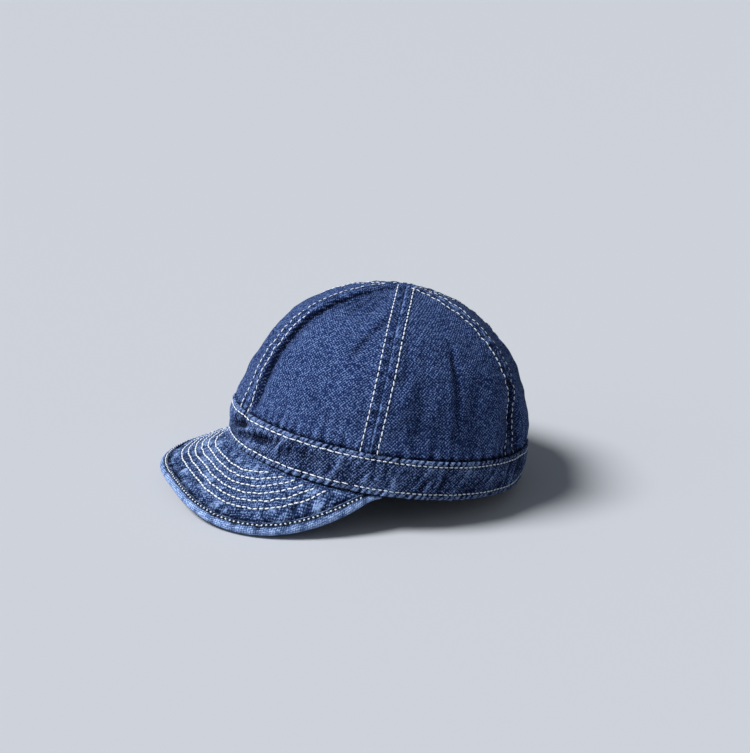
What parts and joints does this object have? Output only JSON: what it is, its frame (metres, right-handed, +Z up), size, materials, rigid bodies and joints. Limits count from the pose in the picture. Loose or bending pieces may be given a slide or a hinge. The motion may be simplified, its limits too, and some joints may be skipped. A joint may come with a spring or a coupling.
{
  "type": "denim cap",
  "caption": "Soft panelled denim cap with a wide band and a short arched, row-stitched brim with a bound edge, worn on the head to shade the face.",
  "frame": {"origin": "on the table under the middle of the resting cap's outline", "axes": "+Z up from the table, -Y to the front of the cap where the brim is, +X to the wearer's left"},
  "size_m": [0.1774, 0.2408, 0.1237],
  "materials": {
    "crown_denim": "matte indigo twill, white flecks",
    "band_denim": "matte indigo twill, worn at its edges",
    "brim_denim": "matte faded indigo twill, puckered between stitch rows",
    "binding_twill": "matte pale blue twill tape",
    "thread": "matte off-white sewing thread"
  },
  "bodies": {
    "root": {"crown_front_left": "crown_denim", "crown_side_left": "crown_denim", "crown_back_left": "crown_denim", "crown_back_right": "crown_denim", "crown_side_right": "crown_denim", "crown_front_right": "crown_denim", "band": "band_denim", "brim_top": "brim_denim", "brim_underside": "brim_denim", "brim_binding": "binding_twill"}
  },
  "joints": []
}
